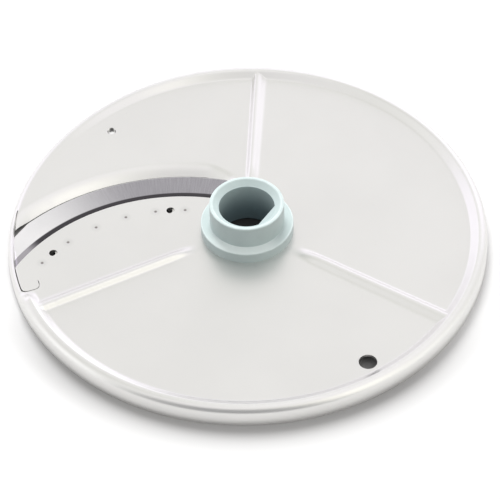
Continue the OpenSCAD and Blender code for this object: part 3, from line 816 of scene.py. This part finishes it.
def makeBlade():
    b = bladeSizes
    z = panZ - plateSizes["sheet"]
    w, thinnest = b["edge"], 0.03

    def surface(xy):
        rho = np.hypot(*(xy - arcCentre).T)
        t = np.clip((rho - b["bevelR"]) / (b["edgeR"] - b["bevelR"]), 0, 1)
        past = (np.hypot(*xy.T) - crestR + 0.1) / (b["endR"] - crestR + 0.1)  # how far under the shoulder
        relief = z + thinnest - (b["endRelief"] + thinnest) * past
        return np.column_stack([xy, np.minimum(z - b["edgeDrop"] * t, relief)])

    def under(xy, top, normal):
        rho = np.hypot(*(xy - arcCentre).T)
        run = b["edgeRun"]
        up = np.clip((rho - b["edgeR"] + run) / run, 0, 1) * (b["thick"] - b["edgeDrop"] - thinnest)
        low = np.minimum(z - b["thick"] + up, top[:, 2] - thinnest)
        return np.column_stack([xy, low]), np.tile([0, 0, -1.0], (len(xy), 1))

    edgeR, backR = b["edgeR"] - w, b["backR"] + w
    first, last = b["arcFrom"] + 0.03, b["heel"] - 0.03
    sweep = np.arange(first, last, 0.6)
    loop = [arcPoint(edgeR, a) for a in sweep]
    loop += [arcPoint(r, last) for r in np.arange(edgeR - 1, backR, -1.5)]
    loop += [arcPoint(backR, a) for a in sweep[::-1]]
    loop += [arcPoint(r, first) for r in np.arange(backR + 1.5, edgeR, 1.5)]

    def onCircle(radius, step):
        def bridge(p, q):
            a, c = bearingOf(p), bearingOf(q)
            turn = (c - a + 180) % 360 - 180
            m = max(2, int(abs(turn) / step))
            return [polar(radius, a + turn * k / m) for k in range(1, m)]
        return bridge

    endR = b["endR"] - w
    loop = trimmed(loop, lambda p: endR - np.hypot(*p), onCircle(endR, 0.7))
    loop = trimmed(loop, lambda p: np.hypot(*p) - b["hubClear"], onCircle(b["hubClear"], 2.0))
    tip, facing = polar(b["endR"], b["tipBearing"]), polar(1.0, b["tipBearing"] - b["tipTurn"])
    loop = trimmed(loop, lambda p: -b["tipCut"] - w - (p - tip) @ facing, lambda p, q: [])
    holes = [circleLoop(arcPoint(plateSizes["weldR"], a) + b["holeShift"], b["holeR"] + w, 40)
             for a in plateSizes["locatingBearings"]]
    inner = []
    arcs = list(np.arange(56, 69, 3.0)) + [69.2, 69.45, 69.6, 69.75, 70.0]
    arcs += list(np.arange(70.8, 78, 0.9)) + [77.6, 78.1]
    for rho in arcs:
        inner.append(arcPoint(rho, np.arange(76.6, 159, 0.8)))
    for s in (84.3, 84.5, 84.9, 85.4):
        inner.append(polar(s, np.arange(178, 222, 0.6)))
    blade = sheetMesh("bladeSkin", loop, holes, np.vstack(inner), surface, under, w)
    blade.data.materials.append(bladeLook())
    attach(blade, "root")
    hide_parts("slicing_blade")


# hub: its shape in millimetres as in the CAD model, textures in metres
hubSizes = {
    "restGap": 0.4, "collarR": 13.55, "collarH": 13.65, "flangeR": 16.9, "flangeT": 4.3, "underT": 1.5,
    "neckR": 12.5, "boreR": 10.1, "flat": 8.5, "flatBearing": 330.0, "funnel": 1.8, "mouth": 1.1,
    "sharpAngle": 32,
    # the pale edge tone is wear with a painted highlight on the rounded edges
    "plastic": (0.43, 0.51, 0.505), "edgeHighlightTone": (0.66, 0.74, 0.74), "lineTone": (0.72, 0.80, 0.80),
    "ledgeTone": (0.80, 0.87, 0.86), "ledgeShare": (0.05, 0.65),
    "ledgeFrom": (-165, -115), "ledgeTo": (-25, -65),
    # the bore's dark tone is painted shade that deepens with depth
    "boreShadeTone": (0.17, 0.225, 0.245), "boreDepth": (0.25, 1.0), "boreFull": 0.004,
    "lineShare": 0.10, "wearSheenShare": 0.6, "wearSheenReach": (0.00015, 0.0006), "cloudSpread": 0.04, "gloss": 0.42,
    "roughness": 0.36, "grainScale": 900.0, "cloudScale": 110.0, "linePitch": 0.0005, "bump": 0.000012,
}


def hubLook():
    h = hubSizes
    mat, tree, shader, at = startMaterial("paleMoulding", 0.0, h["roughness"])
    shader.inputs["Specular IOR Level"].default_value = h["gloss"]
    grain = placeGrain(tree, at, h)
    lines = place(tree, linesGroup, **{"Vector": at, "Pitch": h["linePitch"]})
    z = addSplit(tree, at)[2]
    top, ledge = panZ + h["collarH"], panZ + h["flangeT"]
    wearAndSheen, (core, reach) = 0.0, h["wearSheenReach"]
    # pale rings on the collar's rim, the mouth and the flange's edge: wear with a painted highlight
    sheenEdges = [(h["collarR"] - 0.1, top - 0.1), (h["collarR"] - h["mouth"], top)]
    sheenEdges.append((h["flangeR"] - 0.1, ledge - 0.1))
    for r, height in sheenEdges:
        ring = place(tree, wearSheenGroup, **{"Vector": at, "Radius": lines["Radius"], "Height": z,
                                         "Ring Radius": r * mm, "Ring Height": height * mm,
                                         "Core": core, "Reach": reach, "Breakup": 0.45})
        wearAndSheen = addMath(tree, "MAXIMUM", wearAndSheen, ring["Mask"])
    dark, light = (tuple(v * (1 + k * h["cloudSpread"]) for v in h["plastic"]) for k in (-1, 1))
    colour = addMix(tree, grain["Cloud"], dark, light)
    colour = addTint(tree, lines["Along"], h["lineShare"], colour, h["lineTone"])
    # the flange's ledge is paler at the front, where the collar doesn't shade it in the real room
    upward = addMath(tree, "MULTIPLY", addRange(tree, addSplit(tree, addNormal(tree))[2], 0.3, 0.9),
                     addRange(tree, z, (ledge + 3) * mm, (ledge + 0.5) * mm))
    frontSide = [addTurn(tree, lines, h[k]) for k in ("ledgeFrom", "ledgeTo")]
    frontSide = addMath(tree, "MULTIPLY", *frontSide)
    least, more = h["ledgeShare"]
    share = addMath(tree, "ADD", least, addMath(tree, "MULTIPLY", frontSide, more))
    colour = addTint(tree, upward, share, colour, h["ledgeTone"])
    # painted shade: the bore's wall darkens with depth
    boreShade = addRange(tree, lines["Radius"], (h["boreR"] + 0.5) * mm, (h["boreR"] + 0.2) * mm)
    depth = addRange(tree, z, (top - h["funnel"]) * mm, h["boreFull"], *h["boreDepth"])
    colour = addTint(tree, boreShade, depth, colour, h["boreShadeTone"])
    # painted highlight, with wear, on the rounded edges
    colour = addTint(tree, wearAndSheen, h["wearSheenShare"], colour, h["edgeHighlightTone"])
    tree.links.new(colour, shader.inputs["Base Color"])
    rough = addMath(tree, "ADD", h["roughness"] - 0.05, addMath(tree, "MULTIPLY", grain["Grain"], 0.1))
    tree.links.new(rough, shader.inputs["Roughness"])
    relief = addMath(tree, "ADD", grain["Grain"], addMath(tree, "MULTIPLY", lines["Along"], 0.8))
    addBump(tree, shader, relief, h["bump"])
    return mat


def makeHub():
    h = hubSizes
    z0, underZ = h["restGap"], panZ - plateSizes["sheet"]
    top = panZ + h["collarH"]
    boreTop = top - h["funnel"]
    halfFlat = math.degrees(math.acos(h["flat"] / h["boreR"]))
    corners = [h["flatBearing"] - halfFlat, (h["flatBearing"] + halfFlat) % 360]
    angles = [a for a in np.arange(0, 360, 1.5) if min(abs(a - q) for q in corners) > 0.8]
    angles = sorted(angles + corners)
    c, f, n, bore = h["collarR"], h["flangeR"], h["neckR"], h["boreR"]
    low, ledge = underZ - h["underT"], panZ + h["flangeT"]
    outline = [  # radius, height and rounding of each corner, from the foot round to the bore
        (0, z0, 0), (c, z0, 0.4), (c, low, 0.3), (f, low, 0.4), (f, underZ, 0), (n, underZ, 0), (n, panZ, 0),
        (f, panZ, 0), (f, ledge, 0.55), (c, ledge + 0.35, 0.5), (c, top, 0.55), (c - h["mouth"], top, 0.35),
        (bore + 0.35, boreTop + 0.05, 0.35), (bore, boreTop, 0), (0, boreTop, 0),
    ]
    profile = filleted([q[:2] for q in outline], [q[2] for q in outline], 0.09)[1:-1]
    profile = [q for q in profile if not (q[0] <= bore + 0.1 and q[1] > boreTop - 0.2)]
    verts, faces, rings = [], [], []
    for a in angles:
        off = abs((a - h["flatBearing"] + 180) % 360 - 180)
        rb = min(bore, h["flat"] / max(math.cos(math.radians(off)), 0.1)) if off < halfFlat else bore
        wall = [(rb + 0.12, boreTop), (rb + 0.03, boreTop - 0.04), (rb, boreTop - 0.15)]
        wall += [(rb, z) for z in np.linspace(boreTop - 1.5, z0 + 1.2, 7)] + [(rb, z0 + 0.3), (rb + 0.3, z0)]
        ring = profile + wall
        cosA, sinA = math.cos(math.radians(a)), math.sin(math.radians(a))
        rings.append(range(len(verts), len(verts) + len(ring)))
        verts += [(q[0] * cosA * mm, q[0] * sinA * mm, q[1] * mm) for q in ring]
    m = len(rings[0])
    for here, there in zip(rings, rings[1:] + rings[:1]):
        for k in range(m):
            faces.append((here[k], there[k], there[(k + 1) % m], here[(k + 1) % m]))
    mesh = bpy.data.meshes.new("hubSkin")
    mesh.from_pydata(verts, [], faces)
    mesh.polygons.foreach_set("use_smooth", [True] * len(mesh.polygons))
    mesh.set_sharp_from_angle(angle=math.radians(h["sharpAngle"]))
    hub = bpy.data.objects.new("hubSkin", mesh)
    scene.collection.objects.link(hub)
    mesh.materials.append(hubLook())
    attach(hub, "root")
    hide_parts("drive_hub")
    print("piece hubSkin", len(verts), "vertices", len(faces), "faces")


makeStage()
makeCamera()
makeLight()
makePlate()
makeBlade()
makeHub()
